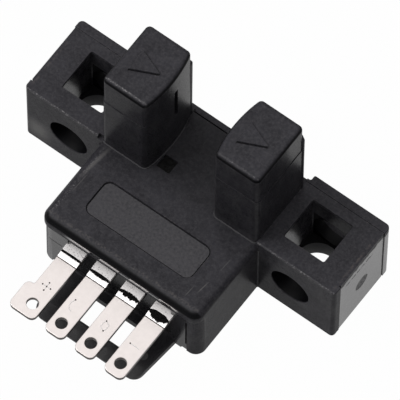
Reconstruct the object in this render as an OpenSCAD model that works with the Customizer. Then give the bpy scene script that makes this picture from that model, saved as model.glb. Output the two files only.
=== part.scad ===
// Slotted optical switch: a U-shaped light barrier with two mounting wings,
// a connector with flat terminals at the front, and its circuit inside.
// X runs along the wings, Y to the back, Z up. The origin lies on the bottom face,
// midway between the two mounting holes.

/* [Wings] */
// Width over both mounting wings
overall_width = 26; // [25.4:0.1:28]
// Depth of the wings with the rear cover
wing_depth = 6.4; // [6.2:0.1:7]
// Height of the wings
wing_height = 6.8; // [6.5:0.1:7.4]
// Radius of the upright corners of the wings
wing_corner = 0.3; // [0.1:0.05:0.5]
// Slope of each wing end, measured at the bottom
wing_draft = 0.05; // [0:0.05:0.3]
// Depth of the shallow panel in each wing end
end_panel_depth = 0.08; // [0.05:0.01:0.2]
// Width of the strip that stands in front of each end panel
end_strip = 0.7; // [0.4:0.1:1]

/* [Mounting holes] */
// Distance between the mounting holes
hole_spacing = 18.6; // [18.2:0.1:19]
// Diameter of the upright and level holes
hole_diameter = 3.1; // [2.8:0.1:3.2]
// Side of the square pocket above each upright hole
pocket_side = 3.3; // [3.25:0.05:3.6]
// Height of the pocket floor
pocket_floor = 1.7; // [1.2:0.1:1.8]
// Height of the level hole above the bottom
level_hole_height = 3.4; // [3.3:0.1:3.6]

/* [Body] */
// Width of the body between the wings
body_width = 13.3; // [13.1:0.1:13.6]
// Distance from the hole line to the front of the lip
body_reach = 10.1; // [9.9:0.1:10.8]
// Step from the wing top down to the body top
body_step = 0.3; // [0.2:0.05:0.5]
// Thickness of the lip over the front wall
lip_height = 1.2; // [1:0.1:1.4]
// Overhang of the lip over the cheeks beside the front wall
lip_overhang = 0.2; // [0.1:0.05:0.4]
// Distance from the cheeks' fronts back to the front wall
wall_recess = 0.2; // [0.1:0.05:0.4]
// Radius of the body's front corners
body_corner = 0.8; // [0.7:0.05:1.2]
// Radius of the body's top edge
body_edge = 0.65; // [0.4:0.05:0.7]
// Thickness of the roof over the circuit
roof_thickness = 0.9; // [0.8:0.05:1]
// Thickness of the body's side walls
side_wall = 1; // [0.9:0.05:1.1]

/* [Towers] */
// Clear width of the sensing slot
slot_width = 5; // [4.8:0.1:5.2]
// Width over both towers
tower_span = 13; // [12.8:0.1:13.2]
// Depth of the towers at their tops
tower_depth = 5.3; // [5.1:0.1:5.4]
// Height of the towers above the body top
tower_height = 9.4; // [9:0.1:10]
// Height of the tower caps above their parting line
cap_height = 3.2; // [2.8:0.1:3.6]
// Step at the parting line of the tower caps
cap_step = 0.04; // [0.02:0.01:0.06]
// Radius of the curved tower faces along the slot
bulge_radius = 10; // [8:0.1:12]
// Radius of the upright tower corners
tower_corner = 0.4; // [0.3:0.05:0.6]
// Radius of the tower's top edges
tower_edge = 0.35; // [0.2:0.05:0.4]
// Wall between the slot and the tower's hollow
tower_wall = 0.8; // [0.7:0.05:0.85]
// Outer wall of the tower's hollow
outer_wall = 0.7; // [0.6:0.05:0.75]
// Front wall of the tower's hollow
front_wall = 0.9; // [0.7:0.05:1]
// Wall over the tower's hollow
cap_wall = 0.8; // [0.7:0.05:1]
// Width of the optical slit
slit_width = 0.4; // [0.3:0.05:0.6]
// Length of the optical slit
slit_length = 3.3; // [2.8:0.1:3.5]
// Distance from the tower top to the optical axis
axis_drop = 3.5; // [3.3:0.1:3.7]

/* [Rear cover] */
// Thickness of the rear cover plate
cover_thickness = 0.7; // [0.6:0.05:0.8]
// Depth of the recess in the cover's back between the wings
cover_recess = 0.45; // [0.3:0.05:0.5]
// Thickness of the tongues that close the towers
tongue_thickness = 0.45; // [0.4:0.05:0.6]
// Height of the tongues over the tower backs
tongue_proud = 0.15; // [0.05:0.05:0.2]
// Distance from the tower top to the tongue's end
tongue_drop = 1.8; // [1.5:0.1:2]

/* [Connector] */
// Distance between terminals
terminal_pitch = 2.5; // [2.4:0.05:2.6]
// Width of a terminal
terminal_width = 1.6; // [1.4:0.05:1.7]
// Thickness of a terminal
terminal_thickness = 0.35; // [0.3:0.05:0.4]
// Height of the terminals' top faces
terminal_level = 4.05; // [3.9:0.05:4.1]
// Length of a terminal outside the front wall
terminal_length = 6.05; // [5.8:0.05:6.4]
// Diameter of the hole near a terminal's tip
terminal_hole = 0.85; // [0.7:0.05:1]
// Extra width of the plus terminal's tip
plus_ear = 0.55; // [0.4:0.05:0.7]
// Length of the guide loop under the terminals
loop_length = 4.2; // [3.8:0.1:4.4]
// Half width of the loop's window
loop_window = 2.7; // [2.5:0.1:2.8]
// Half width of the loop at the front wall
loop_root = 4.8; // [4.4:0.05:4.9]
// Half width of the loop at its nose
loop_nose = 4.35; // [4:0.05:4.4]
// Radius of the loop's nose corners
nose_corner = 0.8; // [0.6:0.1:1]
// Width of the bar at the loop's nose
nose_bar = 1.3; // [1.1:0.05:1.5]
// Width of the bar at the front wall
root_bar = 0.87; // [0.7:0.05:1]
// Thickness of the loop
loop_thickness = 0.7; // [0.6:0.05:0.8]
// Thickness of the loop at the edge of its nose
nose_thickness = 0.3; // [0.2:0.05:0.4]

/* [Circuit] */
// Thickness of the circuit board
board_thickness = 0.8; // [0.6:0.1:0.9]
// Thickness of the base's floor
floor_thickness = 0.9; // [0.7:0.1:1.1]
// Thickness of the base's front wall
wall_thickness = 0.8; // [0.7:0.05:0.9]
// Width of the rails that carry the board
rail_width = 0.6; // [0.4:0.05:0.7]
// Side of the square indicator window
indicator_side = 1.05; // [0.9:0.05:1.2]

/* [Hidden] */
$fn = 64;
soft_fn = 32;
eps = 0.01;
fit = 0.02;
overcut = 1;

case_black = [0.09, 0.09, 0.1];
cover_black = [0.11, 0.11, 0.12];
base_black = [0.13, 0.13, 0.14];
tin = [0.86, 0.84, 0.82];
resin_black = [0.03, 0.03, 0.03];
board_green = [0.1, 0.32, 0.2];
filter_red = [0.16, 0.03, 0.05];
clear_epoxy = [0.75, 0.78, 0.85];
dark_epoxy = [0.08, 0.07, 0.09];
chip_black = [0.06, 0.06, 0.06];
lens_smoke = [0.2, 0.16, 0.14];
ceramic_tan = [0.62, 0.5, 0.36];

wing_front = -wing_depth / 2;
wing_back = wing_depth / 2;
wing_end = overall_width / 2;
cover_face = wing_back - cover_thickness;
web_thickness = cover_thickness - cover_recess;
hole_x = hole_spacing / 2;

body_side = body_width / 2;
body_top = wing_height - body_step;
lip_front = -body_reach;
lip_bottom = body_top - lip_height;
cheek_front = lip_front + lip_overhang;
wall_front = cheek_front + wall_recess;
wall_back = wall_front + wall_thickness;
cavity_side = body_side - side_wall;
roof_under = body_top - roof_thickness;

wing_sink = 0.1;
tower_inner = slot_width / 2;
tower_outer = tower_span / 2;
tower_top = body_top + tower_height;
tower_back = wing_front + tower_depth;
tower_middle = wing_front + tower_depth / 2;
wing_root = tower_outer - wing_sink;
tongue_setback = 0.35;
tongue_overhang = 0.05;
tongue_back = tower_back + tongue_proud;
tongue_face = tongue_back - tongue_thickness;
tongue_top = tower_top - tongue_drop;
tongue_inner = tower_inner + tongue_setback;
tongue_outer = tower_outer + tongue_overhang;
hollow_inner = tower_inner + tower_wall;
hollow_outer = tower_outer - outer_wall;
hollow_front = wing_front + front_wall;
hollow_top = tower_top - cap_wall;
axis_setback = 0.45;
axis_y = tower_middle + axis_setback;
axis_z = tower_top - axis_drop;

base_side = cavity_side - fit;
shoulder_width = 0.9;
seam_slit = 0.2;
seam_low = 1.1;
seam_high = 4.4;
seam_depth = 0.4;
foot_notch = [0.45, 0.3];

resin_length = 0.8;
resin_cover = 0.5;
board_gap = 0.1;
board_side = cavity_side - board_gap;
board_front = wall_back + resin_length + board_gap;
board_back = cover_face - board_gap;
board_top = terminal_level + board_thickness;

loop_front = wall_front - loop_length;
window_back = wall_front - root_bar;
window_front = loop_front + nose_bar;
ramp_margin = 0.15;
ramp_start = window_front - ramp_margin;

terminal_count = 4;
terminal_bottom = terminal_level - terminal_thickness;
terminal_tip = wall_front - terminal_length;
solder_length = 1.1;
terminal_end = board_front + solder_length;
terminal_corner = 0.45;
groove_start = 0.67;
groove_width = 0.15;
groove_depth = 0.08;
terminal_hole_inset = 1;
ear_length = 2.25;

indicator_x = -1.9;
indicator_y = -1.95;
indicator_sink = 0.15;
indicator_flange = [0.25, 0.18];
indicator_chip = [1.2, 0.7, 0.5];

label_half_width = 4.45;
label_near = -5.2;
label_far = -8.1;
label_corner = 0.6;
label_depth = 0.1;

window_size = [0.4, 2.4, 4];
package_gap = 0.7;
package_clearance = 0.35;
package_face = hollow_inner + package_gap;
package_back = hollow_outer - package_clearance;
package_size = [package_back - package_face, 3, 3.2];
dome_radius = 1.2;
dome_rise = 0.25;
leg_side = 0.4;
leg_pitch = 2.54;

amplifier_size = [3.9, 2.6, 1.1];
transistor_size = [2.9, 1.4, 1];
diode_size = [2.6, 1.6, 1];
resistor_size = [1.3, 2, 0.5];
capacitor_size = [2, 1.3, 1.2];
chip_leg = [0.35, 0.4, 0.12];
chip_standoff = 0.08;
lane_gap = 0.25;
lane_side = base_side - rail_width - lane_gap;
chip_row_setback = 4;
part_row_setback = 3.3;
chip_row = board_front + chip_row_setback;
part_row = board_back - part_row_setback;

// Box between two opposite corners
module block(low, high) {
    translate(low) cube(high - low);
}

// Rectangle between two opposite corners, with true round corners
module round_rectangle(low, high, radius) {
    translate(low + [radius, 0]) square(high - low - [2 * radius, 0]);
    translate(low + [0, radius]) square(high - low - [0, 2 * radius]);
    for (x = [low.x + radius, high.x - radius], y = [low.y + radius, high.y - radius])
        translate([x, y]) circle(radius);
}

// Upright prism on a convex outline, with its top edge rounded
module soft_prism(height, edge) {
    hull() for (turn = [0, 30, 60, 90])
        linear_extrude(height - edge * (1 - sin(turn)))
            offset(delta = -edge * (1 - cos(turn)), $fn = soft_fn) children();
}

// The same on the left and the right
module both_sides() {
    children();
    mirror([1, 0, 0]) children();
}

// Outline of the right tower: its slot face is a shallow arc
module tower_outline() {
    offset(r = tower_corner, $fn = soft_fn) offset(delta = -tower_corner) intersection() {
        translate([tower_inner, wing_front]) square([tower_outer - tower_inner, tower_depth]);
        translate([tower_inner + bulge_radius, tower_middle]) circle(bulge_radius, $fn = 180);
    }
}

// Right wing: a block whose end slopes in towards the bottom
module wing_block() {
    intersection() {
        linear_extrude(wing_height)
            round_rectangle([0, wing_front], [wing_end, wing_back + overcut], wing_corner);
        rotate([90, 0, 0]) linear_extrude(3 * wing_depth, center = true)
            polygon([[wing_root, 0], [wing_end - wing_draft, 0],
                [wing_end, wing_height], [wing_root, wing_height]]);
    }
}

module body_block() {
    linear_extrude(lip_bottom + eps)
        round_rectangle([-body_side, cheek_front], [body_side, wing_back + 2 * overcut], body_corner);
    translate([0, 0, lip_bottom]) soft_prism(lip_height, body_edge)
        round_rectangle([-body_side, lip_front], [body_side, wing_back + 2 * overcut],
            body_corner, $fn = soft_fn);
}

module tower_block() {
    translate([0, 0, body_top - eps]) linear_extrude(tower_height - cap_height + 2 * eps) tower_outline();
    translate([0, 0, tower_top - cap_height]) soft_prism(cap_height, tower_edge)
        offset(delta = -cap_step) tower_outline();
}

module level_hole() {
    translate([hole_x, 0, level_hole_height]) rotate([90, 0, 0])
        cylinder(d = hole_diameter, h = wing_depth + 2 * overcut, center = true);
}

// Upright hole, square pocket and level hole of one wing
module wing_holes() {
    translate([hole_x, 0, -overcut]) cylinder(d = hole_diameter, h = pocket_floor + 2 * overcut);
    block([hole_x - pocket_side / 2, -pocket_side / 2, pocket_floor],
        [hole_x + pocket_side / 2, pocket_side / 2, wing_height + overcut]);
    level_hole();
}

// Shallow cut in the wing end, along its slope
module end_panel() {
    panel_x = wing_end - end_panel_depth;
    translate([0, wing_back + overcut, 0]) rotate([90, 0, 0])
        linear_extrude(wing_depth + overcut - end_strip)
            polygon([[panel_x - wing_draft, -eps], [wing_end + overcut, -eps],
                [wing_end + overcut, wing_height + eps], [panel_x, wing_height + eps]]);
}

// Hollow of the right tower with its rear opening and optical slit
module tower_hollow() {
    block([hollow_inner, hollow_front, roof_under - eps], [hollow_outer, tongue_face + eps, hollow_top]);
    block([tongue_inner - fit, tongue_face, roof_under - eps],
        [tongue_outer + fit, wing_back + overcut, tongue_top]);
    block([tower_inner - overcut, axis_y - slit_width / 2, axis_z - slit_length / 2],
        [hollow_inner + eps, axis_y + slit_width / 2, axis_z + slit_length / 2]);
}

module body_hollow() {
    block([-cavity_side, wall_back, -overcut], [cavity_side, wing_back + overcut, roof_under]);
    block([-cavity_side, lip_front - overcut, -overcut], [cavity_side, wall_back + eps, lip_bottom]);
}

// Case with the wings, the towers and the roof over the circuit
module housing() {
    color(case_black) difference() {
        union() {
            body_block();
            both_sides() wing_block();
            both_sides() tower_block();
        }
        block([-overall_width, cover_face, -overcut], [overall_width, 2 * wing_depth, wing_height + overcut]);
        body_hollow();
        both_sides() tower_hollow();
        both_sides() wing_holes();
        both_sides() end_panel();
        translate([indicator_x, indicator_y, body_top])
            cube([indicator_side, indicator_side, 4 * roof_thickness], center = true);
        translate([0, 0, body_top - label_depth]) linear_extrude(overcut)
            round_rectangle([-label_half_width, label_far], [label_half_width, label_near], label_corner);
    }
}

// Right half of the cover plate, seen from the front
module cover_half() {
    polygon([[-eps, 0], [wing_end - wing_draft, 0], [wing_end, wing_height],
        [wing_root, wing_height], [wing_root, body_top], [-eps, body_top]]);
}

// Plate over the whole back, thinner between the wings, with a tongue up the back of each tower
module rear_cover() {
    color(cover_black) difference() {
        union() {
            intersection() {
                translate([0, wing_back, 0]) rotate([90, 0, 0])
                    linear_extrude(cover_thickness) both_sides() cover_half();
                linear_extrude(wing_height)
                    round_rectangle([-wing_end, wing_front], [wing_end, wing_back], wing_corner);
            }
            both_sides() block([tongue_inner, tongue_face, roof_under],
                [tongue_outer, tongue_back, tongue_top]);
            both_sides() block([tongue_inner, tongue_face, roof_under],
                [tongue_outer, cover_face + web_thickness / 2, body_top]);
        }
        both_sides() level_hole();
        block([-body_side, cover_face + web_thickness, -overcut],
            [body_side, wing_back + overcut, wing_height + overcut]);
    }
}

// Outline of the guide loop, seen from above
module loop_outline() {
    root_y = wall_front + wall_thickness / 2;
    difference() {
        union() {
            polygon([[-loop_root, root_y], [-loop_nose, loop_front + nose_corner],
                [loop_nose, loop_front + nose_corner], [loop_root, root_y]]);
            round_rectangle([-loop_nose, loop_front], [loop_nose, loop_front + 2 * nose_corner], nose_corner);
        }
        translate([-loop_window, window_front]) square([2 * loop_window, window_back - window_front]);
    }
}

// Loop with a front bar that thins towards the plug
module guide_loop() {
    difference() {
        linear_extrude(loop_thickness) loop_outline();
        rotate([90, 0, 90]) linear_extrude(overall_width, center = true)
            polygon([[ramp_start, loop_thickness], [loop_front, nose_thickness],
                [loop_front - overcut, nose_thickness], [loop_front - overcut, 2 * loop_thickness],
                [ramp_start, 2 * loop_thickness]]);
    }
}

// Middle of a terminal, counted from the left
function terminal_x(place) = (place - (terminal_count - 1) / 2) * terminal_pitch;

// Openings for the terminals through the front wall
module terminal_slots() {
    for (place = [0 : terminal_count - 1])
        translate([terminal_x(place), 0, 0])
            block([-terminal_width / 2, wall_front - overcut, terminal_bottom],
                [terminal_width / 2, board_front, terminal_level]);
}

// Floor, board rails, front wall with a shoulder at each end, and guide loop in one moulding
module base() {
    color(base_black) difference() {
        union() {
            block([-base_side, wall_front, 0], [base_side, wall_back, lip_bottom - fit]);
            block([-base_side, wall_front, 0], [base_side, cover_face - fit, floor_thickness]);
            both_sides() block([base_side - shoulder_width, cheek_front, 0],
                [base_side, wall_back, lip_bottom - fit]);
            both_sides() block([base_side - rail_width, wall_front, 0],
                [base_side, board_back, terminal_level]);
            guide_loop();
        }
        terminal_slots();
        block([base_side - seam_slit, wall_front - overcut, seam_low],
            [base_side + overcut, wall_front + seam_depth, seam_high]);
        both_sides() block([base_side - foot_notch.x, wall_front - overcut, -overcut],
            [base_side + overcut, wall_front + seam_depth, foot_notch.y]);
    }
}

// Flat terminal with a round tip, a groove across it and a hole; ear widens its tip to the left
module terminal(place, ear) {
    half = terminal_width / 2;
    groove_back = wall_front - groove_start;
    color(tin) translate([terminal_x(place), 0, terminal_bottom]) difference() {
        linear_extrude(terminal_thickness) difference() {
            union() {
                round_rectangle([-half - ear, terminal_tip],
                    [half, terminal_tip + ear_length], terminal_corner);
                translate([-half, terminal_tip + terminal_corner])
                    square([terminal_width, terminal_end - terminal_tip - terminal_corner]);
            }
            translate([0, terminal_tip + terminal_hole_inset]) circle(d = terminal_hole);
        }
        block([-terminal_width, groove_back - groove_width, terminal_thickness - groove_depth],
            [terminal_width, groove_back, overcut]);
    }
}

module terminal_plus() { terminal(0, plus_ear); }
module terminal_select() { terminal(1, 0); }
module terminal_out() { terminal(2, 0); }
module terminal_minus() { terminal(3, 0); }

// Bar of sealing resin round the terminals behind the front wall
module seal_resin() {
    half = base_side - rail_width;
    color(resin_black) difference() {
        block([-half, wall_back, terminal_bottom - resin_cover],
            [half, wall_back + resin_length, terminal_level + resin_cover]);
        terminal_slots();
    }
}

module circuit_board() {
    color(board_green)
        block([-board_side, board_front, terminal_level], [board_side, board_back, board_top]);
}

// Side-looking optical package with a small dome towards the slot
module optical_package() {
    translate([package_face, axis_y, axis_z]) {
        translate([0, -package_size.y / 2, -package_size.z / 2]) cube(package_size);
        intersection() {
            translate([dome_radius - dome_rise, 0, 0]) sphere(dome_radius);
            translate([-dome_rise, -dome_radius, -dome_radius])
                cube([2 * dome_rise, 2 * dome_radius, 2 * dome_radius]);
        }
    }
}

// Pair of legs from an optical package down to the board
module package_legs() {
    leg_top = axis_z - package_size.z / 2;
    leg_x = package_face + package_size.x / 2 - leg_side / 2;
    for (side = [-1, 1])
        translate([leg_x, axis_y + side * leg_pitch / 2 - leg_side / 2, board_top])
            cube([leg_side, leg_side, leg_top - board_top]);
}

// Filter plate behind an optical slit
module slit_window() {
    translate([hollow_inner, axis_y - window_size.y / 2, axis_z - window_size.z / 2]) cube(window_size);
}

module ir_emitter() { color(clear_epoxy) mirror([1, 0, 0]) optical_package(); }
module emitter_leads() { color(tin) mirror([1, 0, 0]) package_legs(); }
module emitter_window() { color(filter_red) mirror([1, 0, 0]) slit_window(); }
module photo_detector() { color(dark_epoxy) optical_package(); }
module detector_leads() { color(tin) package_legs(); }
module detector_window() { color(filter_red) slit_window(); }

module indicator_led() {
    color(clear_epoxy)
        translate([indicator_x - indicator_chip.x / 2, indicator_y - indicator_chip.y / 2, board_top])
            cube(indicator_chip);
}

// Light guide in the roof, with a flange under it
module indicator_lens() {
    half = indicator_side / 2 - fit;
    flange = indicator_side / 2 + indicator_flange.x;
    color(lens_smoke) translate([indicator_x, indicator_y, 0]) {
        block([-half, -half, roof_under - indicator_flange.y], [half, half, body_top - indicator_sink]);
        block([-flange, -flange, roof_under - indicator_flange.y], [flange, flange, roof_under]);
    }
}

// Chip under the board: a moulded block with rows of legs along two sides
module chip(centre, size, legs) {
    color(chip_black) translate([centre.x, centre.y, terminal_level - size.z]) {
        block([-size.x / 2, -size.y / 2, 0], [size.x / 2, size.y / 2, size.z - chip_standoff]);
        for (place = [0 : legs - 1], side = [-1, 1])
            translate([(place - (legs - 1) / 2) * size.x / legs, side * size.y / 2, size.z - chip_leg.z / 2])
                cube([chip_leg.x, 2 * chip_leg.y, chip_leg.z], center = true);
    }
}

// Two-ended part under the board
module small_part(centre, size) {
    translate([centre.x - size.x / 2, centre.y - size.y / 2, terminal_level - size.z]) cube(size);
}

module amplifier_chip() { chip([0, chip_row], amplifier_size, 4); }
module output_transistor() { chip([lane_side - transistor_size.x / 2, part_row], transistor_size, 2); }

module protection_diode() {
    color(chip_black) small_part([diode_size.x / 2 - lane_side, part_row], diode_size);
}

module emitter_resistor() {
    color(resin_black) small_part([resistor_size.x / 2 - lane_side, chip_row], resistor_size);
}

module indicator_resistor() {
    color(resin_black) small_part([lane_side - resistor_size.x / 2, chip_row], resistor_size);
}

module bypass_capacitor() { color(ceramic_tan) small_part([0, part_row], capacitor_size); }

housing();
rear_cover();
base();
terminal_plus();
terminal_select();
terminal_out();
terminal_minus();
seal_resin();
circuit_board();
ir_emitter();
emitter_leads();
photo_detector();
detector_leads();
emitter_window();
detector_window();
indicator_led();
indicator_lens();
amplifier_chip();
output_transistor();
protection_diode();
emitter_resistor();
indicator_resistor();
bypass_capacitor();
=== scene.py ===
"""Looks of a slotted optical switch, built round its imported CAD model.

Shapes are built in millimetres in the row frame and scaled to metres at the end.
"""

import math

import bpy
from mathutils import Matrix, Vector


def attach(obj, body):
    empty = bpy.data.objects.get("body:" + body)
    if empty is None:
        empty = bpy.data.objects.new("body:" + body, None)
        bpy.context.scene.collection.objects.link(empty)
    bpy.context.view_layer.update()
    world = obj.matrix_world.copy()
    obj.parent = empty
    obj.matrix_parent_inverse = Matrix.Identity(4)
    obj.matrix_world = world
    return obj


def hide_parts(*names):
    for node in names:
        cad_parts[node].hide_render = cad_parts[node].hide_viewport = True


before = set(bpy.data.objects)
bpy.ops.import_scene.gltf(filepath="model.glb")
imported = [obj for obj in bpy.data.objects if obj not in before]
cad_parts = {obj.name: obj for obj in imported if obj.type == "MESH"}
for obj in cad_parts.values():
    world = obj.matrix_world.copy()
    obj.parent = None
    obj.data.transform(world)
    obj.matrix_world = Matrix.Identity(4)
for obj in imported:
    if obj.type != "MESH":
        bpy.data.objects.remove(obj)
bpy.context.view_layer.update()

MM = 0.001
OVERCUT = 1.0
SMOOTH_ANGLE = math.radians(32)

# Sizes and places of the solids that the pieces below stand for
WING_END = 13.0
WING_FRONT = -3.2
WING_BACK = 3.2
WING_TOP = 6.8
WING_ROOT = 6.4
WING_CORNER = 0.3
WING_DRAFT = 0.05
COVER_FACE = 2.5
WEB_BACK = 2.75
WEB_FRONT = 2.34
WEB_GAP = 0.09
WEB_HALF = 2.8
WEB_LOW = 5.9
PANEL_DEPTH = 0.06
PANEL_FRONT = -2.5
HOLE_X = 9.3
HOLE_RADIUS = 1.55
POCKET_HALF = 1.65
POCKET_FLOOR = 1.7
LEVEL_HOLE_Z = 3.4
BODY_SIDE = 6.65
BODY_LEFT = 6.54
BODY_TOP = 6.5
BODY_CORNER = 0.8
BODY_EDGE = 0.65
LIP_FRONT = -10.1
LIP_BOTTOM = 5.3
CHEEK_FRONT = -9.9
WALL_FRONT = -9.7
WALL_BACK = -8.9
CAVITY_SIDE = 5.65
ROOF_UNDER = 5.6
TOWER_INNER = 2.5
TOWER_OUTER = 6.5
TOWER_FRONT = -3.2
TOWER_BACK = 2.1
TOWER_TOP = 15.9
TOWER_CORNER = 0.4
TOWER_EDGE = 0.35
BULGE_RADIUS = 10.0
CAP_Z = 12.7
CAP_STEP = 0.04
HOLLOW_INNER = 3.3
HOLLOW_OUTER = 5.8
HOLLOW_FRONT = -2.3
HOLLOW_TOP = 15.1
TONGUE_INNER = 2.85
TONGUE_OUTER = 6.55
TONGUE_FACE = 1.8
TONGUE_BACK = 2.25
TONGUE_TOP = 14.1
AXIS_Y = -0.1
SLIT_HALF_WIDTH = 0.2
SLIT_LOW = 10.1
SLIT_HIGH = 13.8
FIT = 0.02
TERMINAL_X = (-3.64, -1.21, 1.25, 3.74)
TERMINAL_HALF = 0.8
TERMINAL_LEVEL = 4.05
TERMINAL_BOTTOM = 3.7
TERMINAL_TIP = -15.75
TERMINAL_END = -6.9
TERMINAL_HOLE_Y = -14.75
TERMINAL_HOLE_RADIUS = 0.425
TERMINAL_EAR = 0.55
INDICATOR = (-1.9, -1.95)
INDICATOR_HALF = 0.525
FLOOR_TOP = 0.9
LOOP_FRONT = -13.9
GROOVE_BACK = -10.37
SHOULDER = 1.3
SIGN_Y = -13.18
LOOP_TOP = 0.7
LOOP_ROOT = 4.8
LOOP_HALF = 4.35
LOOP_CORNER = 0.8
WINDOW_HALF = 2.7

# Marks: ejector mark on the loop (x, y), label, seam in the front face, triangles on the towers
# and gate mark on the wing ends (y, z)
EJECTOR = (3.7, -12.17)
EJECTOR_RADIUS = 0.34
EJECTOR_DEPTH = 0.04
LABEL_LOW = (-4.45, -8.1)
LABEL_HIGH = (4.45, -5.2)
SEAM_LOW = 3.25
SEAM_HIGH = 3.34
SEAM_DEPTH = 0.04
TRIANGLE_ENDS = ((-5.5, -3.49), (3.48, 5.51))
TRIANGLE_Y = (-1.54, -0.6, 0.18)
TRIANGLE_RISE = 0.17
GATE = (0.07, 3.18)


def circle(centre, radius, steps=48):
    angles = [2 * math.pi * k / steps for k in range(steps)]
    return [(centre[0] + radius * math.cos(a), centre[1] + radius * math.sin(a)) for a in angles]


def filleted(corners, steps=5):
    """Closed outline from (x, y, radius) corners, each rounded with its radius."""
    outline = []
    count = len(corners)
    for k, (x, y, radius) in enumerate(corners):
        here = Vector((x, y))
        before = (Vector(corners[k - 1][:2]) - here).normalized()
        after = (Vector(corners[(k + 1) % count][:2]) - here).normalized()
        if radius <= 0:
            outline.append((x, y))
            continue
        half = before.angle(after) / 2
        reach = radius / math.tan(half)
        middle = here + (before + after).normalized() * radius / math.sin(half)
        first = here + before * reach - middle
        turn = first.angle_signed(here + after * reach - middle)
        for step in range(steps + 1):
            angle = -turn * step / steps
            spot = Matrix.Rotation(angle, 2) @ first + middle
            outline.append((spot.x, spot.y))
    return outline


def rectangle(low, high, radius=0.0, steps=5):
    corners = ((high[0], low[1]), high, (low[0], high[1]), low)
    return filleted([(x, y, radius) for x, y in corners], steps)


def inset(outline, depth):
    """A counter-clockwise outline moved inwards by depth, corners mitred."""
    moved = []
    count = len(outline)
    for k in range(count):
        here = Vector(outline[k])
        one = (here - Vector(outline[k - 1])).normalized()
        two = (Vector(outline[(k + 1) % count]) - here).normalized()
        left_one = Vector((-one.y, one.x))
        left_two = Vector((-two.y, two.x))
        middle = (left_one + left_two).normalized()
        moved.append(tuple(here + middle * (depth / middle.dot(left_one))))
    return moved


def rounding(size, steps):
    """Inset and height steps of a quarter round, from the wall to the flat."""
    quarter = math.pi / 2
    angles = [quarter * k / steps for k in range(steps + 1)]
    return [(size * (1 - math.cos(a)), size * math.sin(a)) for a in angles]


def new_object(name, data):
    piece = bpy.data.objects.new(name, data)
    bpy.context.scene.collection.objects.link(piece)
    return piece


def loft(name, rings):
    """Closed solid through rings of as many points each, capped at both ends."""
    count = len(rings[0])
    points = [p for ring in rings for p in ring]
    faces = [list(range(count))[::-1]]
    for level in range(len(rings) - 1):
        low = level * count
        for k in range(count):
            after = (k + 1) % count
            faces.append([low + k, low + after, low + count + after, low + count + k])
    faces.append([(len(rings) - 1) * count + k for k in range(count)])
    mesh_data = bpy.data.meshes.new(name)
    mesh_data.from_pydata(points, [], faces)
    mesh_data.validate()
    return new_object(name, mesh_data)


def levels(outline, places):
    """Rings of one outline at (inset, height) places."""
    return [[(x, y, z) for x, y in inset(outline, depth)] for depth, z in places]


def soft_solid(outline, low, high, bottom=0.0, top=0.0, steps=4):
    """Upright solid with a rounded bottom and top edge."""
    places = [(0.0, low)]
    if bottom > 0:
        places = [(d, low + bottom - h) for d, h in reversed(rounding(bottom, steps))]
    if top > 0:
        places += [(d, high - top + h) for d, h in rounding(top, steps)]
    else:
        places.append((0.0, high))
    return loft("solid", levels(outline, places))


def flared_cutter(outline, low, high, flare_low=0.0, flare_high=0.0, reach=0.8):
    """Cutter whose ends widen, so that it leaves rounded rims on the faces at low and high."""
    places = [(0.0, low - OVERCUT)]
    if flare_low > 0:
        rim = [(-d, low + flare_low - h) for d, h in reversed(rounding(flare_low, 3)[:-1])]
        places = [(rim[0][0] - flare_low * 0.15, low - OVERCUT)] + rim
    if flare_high > 0:
        rim = [(-d, high - flare_high + h) for d, h in rounding(flare_high, 3)[:-1]]
        places += rim + [(rim[-1][0] - flare_high * 0.15, high + OVERCUT * reach)]
    else:
        places.append((0.0, high + OVERCUT * reach))
    return loft("cutter", levels(outline, places))


def block(low, high):
    return soft_solid(rectangle(low[:2], high[:2]), low[2], high[2])


def turned(piece, matrix):
    piece.data.transform(matrix)
    if matrix.determinant() < 0:
        piece.data.flip_normals()
    return piece


def mirrored(piece):
    """A copy of a solid on the other side."""
    twin = new_object(piece.name, piece.data.copy())
    return turned(twin, Matrix.Scale(-1, 4, Vector((1, 0, 0))))


def both(piece):
    return [piece, mirrored(piece)]


def combine(target, tools, operation):
    """Joins tools to the target or cuts them from it, and removes the tools."""
    for tool in tools:
        modifier = target.modifiers.new("combine", "BOOLEAN")
        modifier.operation = operation
        modifier.solver = "MANIFOLD"
        modifier.object = tool
        graph = bpy.context.evaluated_depsgraph_get()
        made = bpy.data.meshes.new_from_object(target.evaluated_get(graph))
        target.modifiers.clear()
        target.data = made
        bpy.data.objects.remove(tool)
    return target


def join(target, *tools):
    return combine(target, tools, "UNION")


def cut(target, *tools):
    return combine(target, tools, "DIFFERENCE")


def dress(piece, name, material, node=None):
    """Scales a solid to metres, smooths its rounded edges and ties it to the frame."""
    piece.name = name
    piece.data.name = name
    piece.data.transform(Matrix.Scale(MM, 4))
    for face in piece.data.polygons:
        face.use_smooth = True
    piece.data.set_sharp_from_angle(angle=SMOOTH_ANGLE)
    weighted = piece.modifiers.new("weighted", "WEIGHTED_NORMAL")
    weighted.keep_sharp = True
    weighted.weight = 90
    piece.data.materials.clear()
    piece.data.materials.append(material)
    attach(piece, "root")
    if node:
        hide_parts(node)
    return piece


# Materials


def add_node(tree, kind, **values):
    made = tree.nodes.new("ShaderNode" + kind)
    for key, value in values.items():
        setattr(made, key, value)
    return made


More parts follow.
